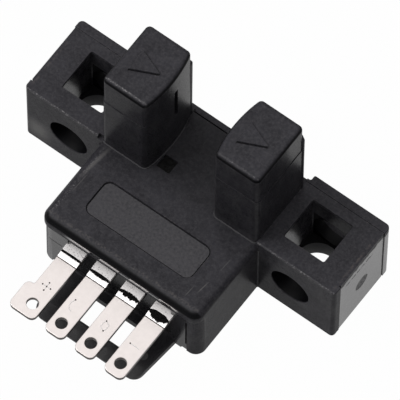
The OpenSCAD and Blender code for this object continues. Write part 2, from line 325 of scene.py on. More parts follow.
class Shader:
    """Node tree of one material, with short calls for the nodes used here."""

    def __init__(self, name):
        self.material = bpy.data.materials.new(name)
        self.material.use_nodes = True
        self.tree = self.material.node_tree
        self.surface = self.tree.nodes["Principled BSDF"]
        self.place = self.node("TexCoord").outputs["Object"]
        self.axes = {}
        self.colour = None
        self.roughness = None
        self.gloss = None

    def node(self, kind, **values):
        return add_node(self.tree, kind, **values)

    def link(self, source, target):
        self.tree.links.new(source, target)

    def set(self, **values):
        for key, value in values.items():
            self.surface.inputs[key.replace("_", " ")].default_value = value

    def noise(self, size_mm, detail, roughness=0.55, stretch=None):
        """Noise whose features are about size_mm wide."""
        made = self.node("TexNoise")
        made.inputs["Scale"].default_value = 1 / (size_mm * MM)
        made.inputs["Detail"].default_value = detail
        made.inputs["Roughness"].default_value = roughness
        place = self.place
        if stretch:
            mapping = self.node("Mapping")
            mapping.inputs["Scale"].default_value = stretch
            self.link(place, mapping.inputs["Vector"])
            place = mapping.outputs["Vector"]
        self.link(place, made.inputs["Vector"])
        return made.outputs["Fac"]

    def ramp(self, source, *stops):
        """Colour ramp with (position, colour) stops."""
        made = self.node("ValToRGB")
        band = made.color_ramp
        while len(band.elements) < len(stops):
            band.elements.new(0.5)
        for element, (position, colour) in zip(band.elements, stops):
            element.position = position
            element.color = (*colour, 1.0)
        self.link(source, made.inputs["Fac"])
        return made.outputs["Color"]

    def grey(self, source, low, high, dark, light):
        """Maps a value from low-high to dark-light."""
        made = self.node("MapRange")
        for key, value in (("From Min", low), ("From Max", high), ("To Min", dark), ("To Max", light)):
            made.inputs[key].default_value = value
        self.link(source, made.inputs["Value"])
        return made.outputs["Result"]

    def feed(self, value, socket):
        """Gives a socket a number, a colour or another socket's value."""
        if isinstance(value, (int, float)):
            socket.default_value = value
        elif isinstance(value, tuple):
            socket.default_value = (*value, 1.0)
        else:
            self.link(value, socket)

    def math(self, operation, one, two):
        made = self.node("Math", operation=operation)
        self.feed(one, made.inputs[0])
        self.feed(two, made.inputs[1])
        return made.outputs["Value"]

    def blend(self, factor, one, two):
        """Goes from one number to another as the factor rises."""
        made = self.node("MapRange")
        self.link(factor, made.inputs["Value"])
        self.feed(one, made.inputs["To Min"])
        self.feed(two, made.inputs["To Max"])
        return made.outputs["Result"]

    def axis(self, key):
        """The coordinate x, y or z in millimetres; out is x without its sign."""
        if key not in self.axes and key == "out":
            self.axes[key] = self.math("ABSOLUTE", self.axis("x"), 0)
        elif key not in self.axes:
            split = self.node("SeparateXYZ")
            self.link(self.place, split.inputs["Vector"])
            self.axes[key] = self.math("MULTIPLY", split.outputs[key.upper()], 1 / MM)
        return self.axes[key]

    def rise(self, key, start, end, top=1.0):
        """0 before a place on an axis, and top from another place on."""
        return self.grey(self.axis(key), start, end, 0.0, top)

    def flatness(self):
        """1 where the surface faces up or down, 0 where it stands."""
        geometry = self.node("NewGeometry")
        split = self.node("SeparateXYZ")
        self.link(geometry.outputs["Normal"], split.inputs["Vector"])
        return self.math("ABSOLUTE", split.outputs["Z"], 0)

    def between(self, value, low, high, soft=0.02):
        """1 where a value lies between low and high."""
        rise = self.grey(value, low - soft, low + soft, 0.0, 1.0)
        fall = self.grey(value, high - soft, high + soft, 1.0, 0.0)
        return self.math("MULTIPLY", rise, fall)

    def beyond(self, **places):
        """1 past the second place along each named axis, 0 before the first."""
        return self.all_of(*(self.rise(key, *limits) for key, limits in places.items()))

    def zone(self, **ranges):
        """1 inside a box: low, high and how soft its border is, along each named axis."""
        return self.all_of(*(self.between(self.axis(key), *limits) for key, limits in ranges.items()))

    def any_of(self, one, two):
        return self.math("MAXIMUM", one, two)

    def all_of(self, *masks):
        """Product of masks and shares."""
        product = masks[0]
        for mask in masks[1:]:
            product = self.math("MULTIPLY", product, mask)
        return product

    def stroke(self, start, end, width, height):
        """1 along a thin straight line between two points at a height, seen from above."""
        along = Vector(end) - Vector(start)
        mapping = self.node("Mapping", vector_type="TEXTURE")
        mapping.inputs["Location"].default_value = (start[0] * MM, start[1] * MM, height * MM)
        mapping.inputs["Rotation"].default_value = (0, 0, math.atan2(along.y, along.x))
        self.link(self.place, mapping.inputs["Vector"])
        split = self.node("SeparateXYZ")
        self.link(mapping.outputs["Vector"], split.inputs["Vector"])
        x, y, z = (self.math("MULTIPLY", split.outputs[key], 1 / MM) for key in "XYZ")
        return self.all_of(
            self.between(x, 0.0, along.length, along.length / 4),
            self.between(y, -width / 2, width / 2, width / 3),
            self.between(z, -0.15, 0.15),
        )

    def mix(self, factor, one, two):
        made = self.node("Mix", data_type="RGBA")
        self.link(factor, made.inputs["Factor"])
        for key, value in (("A", one), ("B", two)):
            self.feed(value, [s for s in made.inputs if s.name == key and s.type == "RGBA"][0])
        return [s for s in made.outputs if s.type == "RGBA"][0]

    def edges(self, radius_mm):
        """Rises from 0 on flats to 1 along edges."""
        bevel = self.node("Bevel", samples=6)
        bevel.inputs["Radius"].default_value = radius_mm * MM
        geometry = self.node("NewGeometry")
        dot = self.node("VectorMath", operation="DOT_PRODUCT")
        self.link(bevel.outputs["Normal"], dot.inputs[0])
        self.link(geometry.outputs["Normal"], dot.inputs[1])
        return self.grey(dot.outputs["Value"], 1.0, 0.9, 0.0, 1.0)

    def bump(self, source, depth_mm, below=None):
        made = self.node("Bump")
        made.inputs["Distance"].default_value = depth_mm * MM
        self.link(source, made.inputs["Height"])
        if below:
            self.link(below, made.inputs["Normal"])
        return made.outputs["Normal"]

    def paint(self, mask, colour):
        """Lays a colour over the one so far where the mask is 1."""
        self.colour = self.mix(mask, self.colour, colour)

    def set_roughness(self, mask, roughness):
        self.roughness = self.blend(mask, self.roughness, roughness)

    def set_gloss(self, mask, gloss):
        self.gloss = self.blend(mask, self.gloss, gloss)

    def finish(self, normal):
        for key, source in (("Base Color", self.colour), ("Roughness", self.roughness), ("Normal", normal)):
            self.link(source, self.surface.inputs[key])
        return self.material


def moulded_plastic(name, dark, light, rough_side, rough_top, marks, grain=0.006, wear=0.5, dusty=1.0):
    """Black moulded plastic: grain, mottling, dust, pale worn edges, smudged sides and duller tops."""
    shader = Shader(name)
    grain_noise = shader.noise(0.07, 2)
    shader.colour = shader.ramp(shader.noise(1.6, 4), (0.35, dark), (0.65, light))
    fleck = shader.grey(shader.noise(0.22, 4, 0.7), 0.4, 0.7, 0.0, 0.5 * dusty)
    shader.paint(fleck, (0.072, 0.07, 0.078))
    speck = shader.grey(shader.noise(0.16, 3), 0.5, 0.66, 0.0, 1.0)
    patch = shader.grey(shader.noise(1.1, 2), 0.42, 0.6, 0.0, wear)
    shader.paint(shader.all_of(shader.edges(0.1), speck, patch), (0.2, 0.19, 0.19))
    dust = shader.grey(shader.noise(0.11, 2), 0.66, 0.78, 0.0, 0.35 * dusty)
    shader.paint(dust, (0.09, 0.085, 0.085))
    flat = shader.flatness()
    smudge = shader.grey(shader.noise(1.3, 6, 0.7, stretch=(1.4, 1.4, 0.8)), 0.46, 0.8, 0.0, 0.6)
    shader.paint(shader.all_of(smudge, shader.grey(flat, 0.3, 0.7, 1.0, 0.0)), (0.09, 0.09, 0.093))
    uneven = shader.grey(grain_noise, 0.3, 0.7, -0.05, 0.05)
    shader.roughness = shader.math("ADD", shader.grey(flat, 0.6, 0.97, rough_side, rough_top), uneven)
    shader.gloss = shader.grey(flat, 0.4, 0.9, 0.04, 0.18)
    marks(shader)
    shader.link(shader.gloss, shader.surface.inputs["Specular IOR Level"])
    normal = shader.bump(grain_noise, grain)
    return shader.finish(shader.bump(shader.noise(0.9, 3), 0.012, below=normal))


# Colours, skin indices and gloss of the marks below; painted shade, painted light and painted highlight are
# among the colours
# near black for painted shade in bores, pocket floors, tower walls, the deck between the towers and the
# tower crowns
PAINTED_SHADE = (0.004, 0.004, 0.005)
# pale grey for painted light low in the upright holes and a painted highlight on the tower feet
PAINTED_LIGHT_GREY = (0.08, 0.08, 0.085)
# pale grey for the label's grit and for rubbed specks with painted highlight on the front edges
PALE_GRIT_AND_HIGHLIGHT = (0.075, 0.074, 0.08)
COAT_INDEX = 1.32
STRIP_INDEX = 6.0
END_GLOSS = 0.2


def polished_ends(shader):
    """Glossy skin on the wing ends, broken by a flow line and a gate mark; gives its mask."""
    ends = shader.beyond(out=(WING_END - 0.18, WING_END - 0.16), y=(PANEL_FRONT, PANEL_FRONT + 0.04))
    rim = shader.math("ADD", shader.axis("z"), shader.grey(shader.noise(0.5, 3), 0.3, 0.7, -0.12, 0.12))
    ends = shader.all_of(ends, shader.grey(rim, WING_TOP - 0.58, WING_TOP - 0.46, 1.0, 0.0))
    dashes = shader.grey(shader.noise(0.2, 2), 0.43, 0.47, 0.0, 1.0)
    flow = shader.zone(z=(WING_TOP - 1.2, WING_TOP - 1.0, 0.015), y=(-1.8, 1.2, 0.1))
    flow = shader.all_of(flow, dashes)
    reach = [shader.math("ADD", shader.axis(key), -place) for key, place in zip("yz", GATE)]
    away_squared = shader.math("ADD", *(shader.math("POWER", side, 2) for side in reach))
    gate = shader.grey(away_squared, 0.4, 0.5, 1.0, 0.0)
    gate = shader.all_of(gate, shader.grey(shader.noise(0.2, 3), 0.42, 0.6, 1.0, 0.8))
    ends = shader.all_of(ends, shader.math("SUBTRACT", 1.0, shader.any_of(flow, gate)))
    shader.set_roughness(ends, 0.15)
    return ends


def coat(shader, mask, index):
    """Clear glossy skin where the mask is 1."""
    shader.link(mask, shader.surface.inputs["Coat Weight"])
    shader.set(Coat_Roughness=0.1)
    shader.link(index, shader.surface.inputs["Coat IOR"])


def cover_marks(shader):
    """Glossy wing ends."""
    ends = polished_ends(shader)
    coat(shader, ends, shader.grey(ends, 0.0, 1.0, 1.0, COAT_INDEX))
    shader.set_gloss(ends, END_GLOSS)


def hole_marks(shader):
    """Painted shade in the level bores and on the pocket floors, painted light low on the walls of the
    upright holes, and smooth pocket walls.
    """
    reach = HOLE_RADIUS + 0.03
    across = (HOLE_X - reach, HOLE_X + reach)
    depth = WING_BACK - 0.07
    # painted shade: the level bores are painted near black
    bores = shader.zone(out=across, z=(POCKET_FLOOR + 0.1, LEVEL_HOLE_Z + reach), y=(-depth, depth))
    shader.paint(bores, PAINTED_SHADE)
    # painted light: the lower walls of the upright holes are painted paler, standing in for light they
    # reflect
    ring = HOLE_RADIUS + 0.07
    rings = shader.zone(out=across, z=(0.08, POCKET_FLOOR - 0.04), y=(-ring, ring))
    shader.paint(rings, PAINTED_LIGHT_GREY)
    half = POCKET_HALF + 0.05
    inside = shader.zone(out=(HOLE_X - half, HOLE_X + half), y=(-half, half))
    # painted shade: the pocket floors are painted near black
    floors = shader.all_of(inside, shader.zone(z=(POCKET_FLOOR - 0.04, POCKET_FLOOR + 0.06)))
    shader.paint(floors, PAINTED_SHADE)
    walls = shader.all_of(inside, shader.zone(z=(POCKET_FLOOR + 0.1, WING_TOP - 0.2)))
    shader.set_gloss(walls, shader.grey(shader.axis("y"), 0.3, -0.6, 0.03, 0.3))
    shader.set_roughness(walls, 0.14)


def rubbed_and_lit_edges(shader):
    """Pale specks along the front top edges of towers and wings and along the body's left edge, partly
    rubbed wear and partly painted highlight, and rubbed specks on the wings' rims.
    """
    tower = shader.all_of(
        shader.zone(y=(TOWER_FRONT + 0.25, TOWER_FRONT + 0.35, 0.03)),
        shader.rise("z", TOWER_TOP - 0.15, TOWER_TOP - 0.05),
        shader.grey(shader.axis("x"), -3.0, 3.0, 0.8, 0.3),
    )
    wing = shader.all_of(
        shader.zone(y=(WING_FRONT - 0.02, WING_FRONT + 0.12), z=(WING_TOP - 0.14, WING_TOP + 0.02)),
        shader.rise("out", TOWER_OUTER, TOWER_OUTER + 0.2, 0.5),
    )
    left = shader.zone(
        x=(0.42 - BODY_LEFT, 0.64 - BODY_LEFT, 0.05),
        z=(BODY_TOP - 0.1, BODY_TOP + 0.05),
        y=(CHEEK_FRONT + 0.5, TOWER_FRONT - 0.7, 0.5),
    )
    rim = shader.zone(out=(WING_END - 0.38, WING_END - 0.24, 0.04), y=(PANEL_FRONT - 0.2, 1.4, 0.3))
    rim = shader.all_of(rim, shader.zone(z=(WING_TOP - 0.06, WING_TOP + 0.05)))
    rim = shader.all_of(rim, shader.grey(shader.noise(0.3, 3), 0.45, 0.62, 0.0, 0.7))
    shader.paint(rim, (0.085, 0.076, 0.076))
    # the front top edges of towers and wings get pale paint, part rubbed wear and part painted highlight;
    # the whiter specks, also on the body's left edge, are the same mix
    edges = shader.any_of(tower, wing)
    shader.paint(edges, PALE_GRIT_AND_HIGHLIGHT)
    grit = shader.grey(shader.noise(0.11, 4), 0.52, 0.64, 0.0, 1.0)
    worn = shader.any_of(edges, shader.all_of(left, 0.3))
    shader.paint(shader.all_of(worn, grit), (0.3, 0.295, 0.3))


def tower_marks(shader):
    """Towers with painted shade on their walls, rubbed slot faces and a dull front corner, painted shade on
    the deck between them and round their top edges, and a painted highlight on their foot fillets.
    """
    slot_faces = shader.rise("out", TOWER_INNER + 0.5, TOWER_INNER + 0.45)
    sides = shader.beyond(x=(TOWER_OUTER - 0.1, TOWER_OUTER - 0.05), y=(0.0, 0.6))
    above = WING_TOP + 0.1
    rubbed = shader.all_of(shader.rise("z", above, above + 0.2), shader.any_of(slot_faces, sides))
    corner = shader.beyond(
        x=(TOWER_OUTER - 0.5, TOWER_OUTER - 0.4),
        y=(TOWER_FRONT + 0.45, TOWER_FRONT + 0.35),
        z=(above, above + 0.1),
    )
    shader.set_gloss(corner, 0.02)
    shader.set_gloss(rubbed, 0.16)
    # painted shade: the tower walls are darkened towards near black
    walls = shader.zone(z=(WING_TOP + 0.4, TOWER_TOP - 0.4, 0.3))
    shader.paint(shader.all_of(walls, 0.3), PAINTED_SHADE)
    # painted shade on the body top between the towers, deepening towards the back
    deck = shader.zone(z=(BODY_TOP - 0.1, BODY_TOP + 0.1), x=(0.2 - TOWER_OUTER, TOWER_OUTER - 0.2))
    deck = shader.all_of(deck, shader.rise("y", TOWER_FRONT - 1.4, TOWER_FRONT + 1.0, 0.4))
    shader.paint(deck, PAINTED_SHADE)
    # painted shade on the rounded top edges of the towers
    crown = shader.zone(z=(TOWER_TOP - 0.32, TOWER_TOP - 0.1, 0.05))
    shader.paint(crown, PAINTED_SHADE)
    shader.set_roughness(crown, 0.6)
    # painted highlight: a pale line on the fillet round each tower's foot
    foot_x = TOWER_OUTER + 0.12
    foot = shader.zone(z=(BODY_TOP + 0.015, BODY_TOP + 0.06, 0.005), x=(-foot_x, foot_x))
    foot = shader.all_of(foot, shader.zone(y=(TOWER_FRONT - 0.2, 1.0)))
    shader.paint(foot, PAINTED_LIGHT_GREY)


def body_marks(shader):
    """Rough label, painted shade on the roll over the lip, scuffs behind it and fine scratches."""
    label = shader.zone(
        x=(LABEL_LOW[0] + 0.01, LABEL_HIGH[0] - 0.01, 0.01),
        y=(LABEL_LOW[1] + 0.01, LABEL_HIGH[1] - 0.01, 0.01),
        z=(BODY_TOP - 0.15, BODY_TOP - 0.05),
    )
    shader.set_roughness(label, 0.62)
    grit = shader.grey(shader.noise(0.2, 4, 0.7), 0.35, 0.65, 0.35, 1.0)
    shader.paint(shader.all_of(label, grit), PALE_GRIT_AND_HIGHLIGHT)
    # painted shade: the roll over the lip is painted near black
    roll = shader.rise("y", LIP_FRONT + 0.6, LIP_FRONT + 0.48)
    roll = shader.all_of(roll, shader.zone(z=(BODY_TOP - 0.5, BODY_TOP - 0.08, 0.05)))
    shader.paint(roll, (0.005, 0.005, 0.006))
    scuffs = shader.zone(y=(LIP_FRONT + 0.5, LIP_FRONT + 0.72, 0.05), z=(BODY_TOP - 0.1, BODY_TOP + 0.1))
    scuffs = shader.all_of(scuffs, shader.grey(shader.noise(0.14, 3), 0.45, 0.62, 0.0, 0.35))
    shader.paint(scuffs, (0.14, 0.13, 0.125))
    for start, end, width, strength in SCRATCHES:
        line = shader.all_of(shader.stroke(start, end, width, BODY_TOP), strength)
        shader.paint(line, (0.2, 0.195, 0.19))


def case_marks(shader):
    """Smooth wing ends and left cheek, a smudge on the left wing and a polished strip along the lip."""
    ends = polished_ends(shader)
    cheek = shader.beyond(
        y=(CHEEK_FRONT + 0.1, CHEEK_FRONT + 0.02), z=(LIP_BOTTOM, LIP_BOTTOM - 0.1), x=(0.1, 0.0)
    )
    shader.set_roughness(cheek, 0.2)
    shader.set_gloss(cheek, 0.8)
    shader.set_gloss(ends, END_GLOSS)
    tower_marks(shader)
    hole_marks(shader)
    rubbed_and_lit_edges(shader)
    smudge = shader.zone(x=(0.3 - WING_END, 1.9 - WING_END, 0.5), z=(0.6, 2.6, 0.6))
    smudge = shader.all_of(smudge, shader.rise("y", WING_FRONT + 0.1, WING_FRONT + 0.04, 0.9))
    shader.paint(smudge, (0.16, 0.16, 0.16))
    body_marks(shader)
    strip = shader.zone(z=(LIP_BOTTOM + 0.36, LIP_BOTTOM + 0.62, 0.04), x=(-4.25, 5.0, 0.3))
    strip = shader.all_of(strip, shader.rise("y", CHEEK_FRONT, CHEEK_FRONT - 0.08))
    coat(shader, shader.any_of(ends, strip), shader.grey(strip, 0.0, 1.0, COAT_INDEX, STRIP_INDEX))
    shader.set_roughness(strip, 0.05)


def base_marks(shader):
    """Smooth shoulders beside the terminals whose front faces get painted light, a paler tone like the case
    beside them, and a paler ejector mark.
    """
    # painted light: the shoulders' front faces are painted paler than the rest of the base
    front = shader.zone(y=(CHEEK_FRONT - 0.05, CHEEK_FRONT + 0.06))
    shader.paint(front, (0.032, 0.0315, 0.036))
    shader.set_roughness(front, 0.2)
    shader.gloss = shader.math("ADD", shader.gloss, 0.05)
    shader.set_gloss(front, shader.grey(shader.axis("x"), -0.1, 0.1, 0.75, 0.4))
    half = EJECTOR_RADIUS - 0.01
    floor = LOOP_TOP - EJECTOR_DEPTH
    mark = shader.zone(
        x=(EJECTOR[0] - half, EJECTOR[0] + half),
        y=(EJECTOR[1] - half, EJECTOR[1] + half),
        z=(floor - 0.02, floor + 0.02, 0.01),
    )
    shader.paint(mark, (0.05, 0.05, 0.052))


# Light scratches on the body top: start, end, width and strength
SCRATCHES = (
    ((5.55, -7.5), (5.45, -8.3), 0.06, 0.4),
    ((5.75, -5.2), (5.7, -6.1), 0.05, 0.25),
    ((4.95, -8.3), (4.9, -9.0), 0.05, 0.35),
    ((-5.72, -3.6), (-6.0, -5.9), 0.22, 0.35),
    ((-5.75, -5.9), (-5.8, -7.2), 0.06, 0.25),
)

CASE_TONES = ((0.0195, 0.019, 0.0235), (0.031, 0.0305, 0.037))
BASE_TONES = ((0.009, 0.009, 0.011), (0.014, 0.014, 0.016))
CASE = moulded_plastic("case_plastic", *CASE_TONES, 0.3, 0.5, case_marks)
COVER = moulded_plastic("cover_plastic", *CASE_TONES, 0.3, 0.5, cover_marks)
BASE = moulded_plastic("base_plastic", *BASE_TONES, 0.18, 0.3, base_marks, 0.003, 0.25, 0.15)


def tinned_metal():
    """Dull tin plate with a cloudy bloom and a stained root; painted light whitens the root and the bent
    band before the groove, a painted highlight whitens the raised signs, and painted shade darkens
    everything below the top face.
    """
    shader = Shader("tinned_metal")
    bloom = shader.noise(0.5, 5)
    shader.colour = shader.ramp(bloom, (0.3, (0.9, 0.842, 0.822)), (0.7, (0.955, 0.895, 0.875)))
    # painted light: the root and the bent band before the groove are painted whiter
    root_end = WALL_FRONT + 0.3
    shader.paint(shader.zone(y=(GROOVE_BACK - 0.58, root_end)), (0.97, 0.95, 0.95))
    stain = shader.grey(shader.noise(0.13, 3), 0.58, 0.66, 0.0, 0.7)
    shader.paint(shader.all_of(shader.zone(y=(GROOVE_BACK - 0.01, root_end)), stain), (0.35, 0.33, 0.34))
    # painted highlight: the raised sign lines are painted whiter
    raised = (TERMINAL_LEVEL + 0.003, TERMINAL_LEVEL + 0.012)
    shader.paint(shader.beyond(y=(SIGN_Y + 1.68, SIGN_Y + 1.18), z=raised), (0.98, 0.97, 0.97))
    # painted shade: sides, groove floors and punched pits below the top face are painted dark
    shade_below_top = shader.zone(z=(TERMINAL_BOTTOM + 0.03, TERMINAL_LEVEL - 0.035, 0.015))
    shader.paint(shade_below_top, (0.06, 0.05, 0.045))
    lines = shader.noise(0.09, 3, stretch=(1.0, 0.08, 1.0))
    shader.roughness = shader.grey(lines, 0.3, 0.7, 0.3, 0.4)
    metallic = shader.grey(shader.axis("y"), GROOVE_BACK - 0.53, GROOVE_BACK - 0.13, 0.6, 0.1)
    shader.link(metallic, shader.surface.inputs["Metallic"])
    return shader.finish(shader.bump(lines, 0.002))


TIN = tinned_metal()


def simple_surface(name, dark, light, size_mm, rough_low, rough_high, bump_mm, **values):
    """Surface with two tones of noise, varied gloss and a light bump."""
    shader = Shader(name)
    tone = shader.noise(size_mm, 4)
    shader.colour = shader.ramp(tone, (0.35, dark), (0.65, light))
    shader.roughness = shader.grey(tone, 0.3, 0.7, rough_low, rough_high)
    shader.set(**values)
    return shader.finish(shader.bump(tone, bump_mm))


RESIN = simple_surface(
    "resin", (0.001, 0.001, 0.001), (0.007, 0.006, 0.006), 0.12, 0.2, 0.6, 0.1, Specular_IOR_Level=0.08
)
BOARD = simple_surface("board", (0.012, 0.07, 0.03), (0.02, 0.11, 0.05), 0.4, 0.35, 0.5, 0.004)
CLEAR_EPOXY = simple_surface(
    "clear_epoxy", (0.62, 0.66, 0.75), (0.72, 0.76, 0.84), 0.8, 0.08, 0.16, 0.003, Transmission_Weight=0.6
)
DARK_EPOXY = simple_surface("dark_epoxy", (0.012, 0.01, 0.013), (0.02, 0.016, 0.02), 0.6, 0.15, 0.3, 0.003)
FILTER = simple_surface("filter", (0.006, 0.003, 0.004), (0.012, 0.005, 0.006), 0.5, 0.1, 0.2, 0.002)
LENS = simple_surface(
    "smoked_lens", (0.001, 0.001, 0.001), (0.01, 0.01, 0.01), 0.16, 0.5, 0.7, 0.03, Specular_IOR_Level=0.1
)
CHIP = simple_surface("chip", (0.01, 0.01, 0.01), (0.018, 0.018, 0.018), 0.08, 0.5, 0.7, 0.004)
CERAMIC = simple_surface("ceramic", (0.32, 0.21, 0.12), (0.42, 0.29, 0.17), 0.15, 0.4, 0.6, 0.004)


# Housing


def tower_outline():
    """The right tower's outline: its slot face is a shallow arc."""
    middle_y = (TOWER_FRONT + TOWER_BACK) / 2
    centre_x = TOWER_INNER + BULGE_RADIUS

    def face_x(y):
        return centre_x - math.sqrt(BULGE_RADIUS**2 - (y - middle_y) ** 2)

    corners = [
        (face_x(TOWER_FRONT), TOWER_FRONT, TOWER_CORNER),
        (TOWER_OUTER, TOWER_FRONT, TOWER_CORNER),
        (TOWER_OUTER, TOWER_BACK, TOWER_CORNER),
        (face_x(TOWER_BACK), TOWER_BACK, TOWER_CORNER),
    ]
    face_steps = 14
    reach = (TOWER_BACK - TOWER_FRONT) * 0.5 - 0.62
    for k in range(face_steps + 1):
        y = middle_y + reach * (1 - 2 * k / face_steps)
        corners.append((face_x(y), y, 0))
    return filleted(corners, 7)


def tower_solid():
    """Right tower with a filleted foot and a parting line under its cap, which the slot face lacks."""
    foot = 0.07
    line = 0.03
    places = [(-foot, BODY_TOP - 0.2), (-foot, BODY_TOP)]
    places += [(-h, BODY_TOP + foot - d) for d, h in reversed(rounding(foot, 4)[:-1])]
    places += [(0.0, CAP_Z - line), (0.1, CAP_Z - line), (0.1, CAP_Z + line), (CAP_STEP, CAP_Z + line)]
    places += [(CAP_STEP + d, TOWER_TOP - TOWER_EDGE + h) for d, h in rounding(TOWER_EDGE, 6)]
    outline = tower_outline()
    rings = levels(outline, places)
    for ring in rings:
        if abs(ring[0][2] - CAP_Z) > 2 * line:
            continue
        for k, (x, y) in enumerate(inset(outline, CAP_STEP)):
            if outline[k][0] < TOWER_INNER + 0.45:
                ring[k] = (x, y, ring[k][2])
    return loft("tower", rings)


def wing_solid():
    """Right wing with soft edges and an end that slopes in towards the bottom."""
    corners = [
        (WING_ROOT, WING_FRONT, 0),
        (WING_END, WING_FRONT, WING_CORNER),
        (WING_END, COVER_FACE + OVERCUT, 0),
        (WING_ROOT, COVER_FACE + OVERCUT, 0),
    ]
    wing = soft_solid(filleted(corners), 0, WING_TOP, 0.1, 0.07)
    return sloped_end(wing)


def sloped_end(piece):
    """Slopes whatever lies beyond the mounting holes in towards the bottom."""
    for vertex in piece.data.vertices:
        if abs(vertex.co.x) > HOLE_X:
            vertex.co.x -= math.copysign(WING_DRAFT * (1 - vertex.co.z / WING_TOP), vertex.co.x)
    return piece


def level_bore():
    cutter = flared_cutter(circle((0, 0), HOLE_RADIUS), -WING_BACK, WING_BACK, 0.04, 0.04, reach=1.0)
    lying = Matrix.Rotation(math.radians(90), 4, "X")
    return turned(cutter, Matrix.Translation((HOLE_X, 0, LEVEL_HOLE_Z)) @ lying)


def upright_bore():
    return flared_cutter(circle((HOLE_X, 0), HOLE_RADIUS), 0, POCKET_FLOOR, 0.08, 0.05, reach=0.3)


def pocket_cutter():
    outline = rectangle((HOLE_X - POCKET_HALF, -POCKET_HALF), (HOLE_X + POCKET_HALF, POCKET_HALF), 0.12, 3)
    places = [(0.0, POCKET_FLOOR), (0.0, WING_TOP - 0.08)]
    places += [(-d, WING_TOP - 0.08 + h) for d, h in rounding(0.08, 3)[1:-1]]
    places.append((-0.07, WING_TOP + OVERCUT))
    return loft("pocket", levels(outline, places))


def end_panel_cutters():
    """Shallow panel in a wing end, with a groove along its front edge and a fine line along the cover."""
    groove = 0.1
    line = 0.025
    cutters = []
    for depth, front, back in (
        (PANEL_DEPTH, PANEL_FRONT, WING_BACK + OVERCUT),
        (PANEL_DEPTH + groove, PANEL_FRONT, PANEL_FRONT + groove),
        (PANEL_DEPTH + line, COVER_FACE - line, WING_BACK),
    ):
        low = (WING_END - depth, front, -OVERCUT)
        cutters.append(block(low, (WING_END + 2, back, WING_TOP + OVERCUT)))
    return [sloped_end(cutter) for cutter in cutters]


def seam_cutter():
    """Hairline gap between a wing's top and the rear cover."""
    low = (WING_ROOT, COVER_FACE - 0.022, WING_TOP - 0.1)
    return block(low, (WING_END + OVERCUT, COVER_FACE + OVERCUT, WING_TOP + OVERCUT))


def triangle_mark(base_x, tip_x):
    """Raised triangle on a tower top, pointing along X."""
    edge = 0.04
    corners = [(x, y, edge) for x, y in zip((base_x, tip_x, base_x), TRIANGLE_Y)]
    return soft_solid(filleted(corners, 3), TOWER_TOP - 0.2, TOWER_TOP + TRIANGLE_RISE, 0, edge, 3)


def body_solid():
    """Body with its lip and the two wings, its back cut off flat for the cover."""
    back = COVER_FACE + 2
    lower = [
        (BODY_SIDE, CHEEK_FRONT, BODY_CORNER),
        (BODY_SIDE, back, 0),
        (-BODY_LEFT, back, 0),
        (-BODY_LEFT, CHEEK_FRONT, BODY_CORNER),
    ]
    upper = [(x, LIP_FRONT if y < 0 else y, r) for x, y, r in lower]
    body = soft_solid(filleted(lower, 8), 0, LIP_BOTTOM + 0.3, 0.12)
    lip = soft_solid(filleted(upper, 8), LIP_BOTTOM, BODY_TOP, 0.12, BODY_EDGE, 7)
    join(body, lip, *both(wing_solid()))
    cut(body, block((-8, LIP_FRONT - 1, LIP_BOTTOM - 0.1), (8, CHEEK_FRONT + 0.12, LIP_BOTTOM)))
    inner, outer = BODY_SIDE - 0.2, BODY_SIDE + 0.07
    front, behind = WING_FRONT - 0.07, WING_FRONT + 0.1
    fillet = [(inner, front), (BODY_SIDE, front), (outer, WING_FRONT), (outer, behind), (inner, behind)]
    join(body, *both(soft_solid(fillet, 0.1, BODY_TOP - BODY_EDGE)))
    cut(body, block((-15, COVER_FACE, -OVERCUT), (15, back + 1, WING_TOP + OVERCUT)))
    return cut(body, block((-WEB_HALF, WEB_FRONT - WEB_GAP, WEB_LOW - 0.05), (WEB_HALF, back, WING_TOP)))


def paired_cutters():
    """Right-hand cutters of the holes that both sides of the housing have."""
    hollow_low = (HOLLOW_INNER, HOLLOW_FRONT, ROOF_UNDER - 0.1)
    opening_low = (TONGUE_INNER - FIT, TONGUE_FACE, WING_TOP)
    slit_low = (TOWER_INNER - 1, AXIS_Y - SLIT_HALF_WIDTH, SLIT_LOW)
    return [
        block(hollow_low, (HOLLOW_OUTER, TONGUE_FACE + 0.1, HOLLOW_TOP)),
        block(opening_low, (TONGUE_OUTER + FIT, 4, TONGUE_TOP)),
        block((*opening_low[:2], ROOF_UNDER - 0.1), (WING_ROOT, 4, WING_TOP + 0.1)),
        block(slit_low, (HOLLOW_INNER + 0.1, AXIS_Y + SLIT_HALF_WIDTH, SLIT_HIGH)),
        pocket_cutter(),
        upright_bore(),
        level_bore(),
        seam_cutter(),
        *end_panel_cutters(),
    ]


